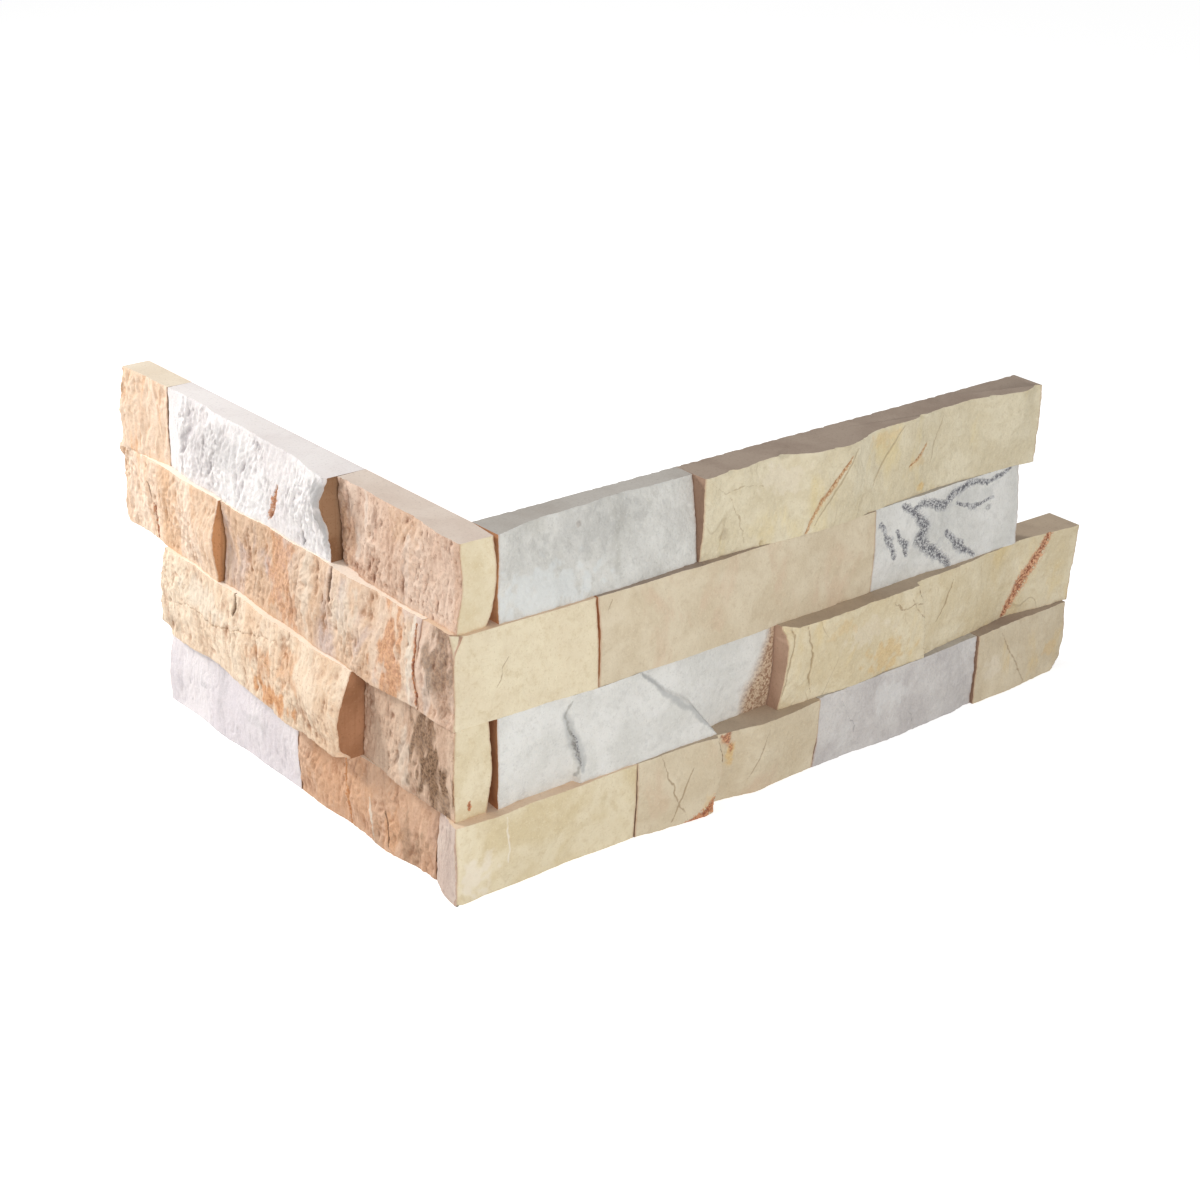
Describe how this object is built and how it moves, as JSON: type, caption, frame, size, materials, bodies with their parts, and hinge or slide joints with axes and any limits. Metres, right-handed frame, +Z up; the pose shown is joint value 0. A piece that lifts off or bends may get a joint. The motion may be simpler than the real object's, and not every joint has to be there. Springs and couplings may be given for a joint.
{
  "type": "ledger stone veneer corner",
  "caption": "L-shaped corner panel of riven stone strips in staggered courses, with sawn backs, that turns a stacked-stone wall cladding round an outside corner",
  "frame": {"origin": "the inner corner where the two sawn backs meet, at the foot of the lowest course", "axes": "+X runs along the long wing away from the corner, +Y along the short wing away from the corner, +Z up; the split faces look toward -Y and -X"},
  "size_m": [0.3772, 0.2736, 0.15],
  "materials": {
    "cream_limestone": "natural cleft",
    "tan_limestone": "split",
    "white_marble": "split"
  },
  "bodies": {
    "root": {"a_short_1": "tan_limestone", "a_short_2": "white_marble", "a_short_3": "tan_limestone", "a_long_1": "white_marble", "a_long_2": "cream_limestone", "b_short_1": "tan_limestone", "b_short_2": "tan_limestone", "b_long_1": "cream_limestone", "b_long_2": "cream_limestone", "b_long_3": "white_marble", "c_short_1": "tan_limestone", "c_short_2": "tan_limestone", "c_long_1": "white_marble", "c_long_2": "cream_limestone", "d_short_1": "white_marble", "d_short_2": "tan_limestone", "d_long_1": "cream_limestone", "d_long_2": "cream_limestone", "d_long_3": "white_marble", "d_long_4": "cream_limestone"}
  },
  "joints": []
}
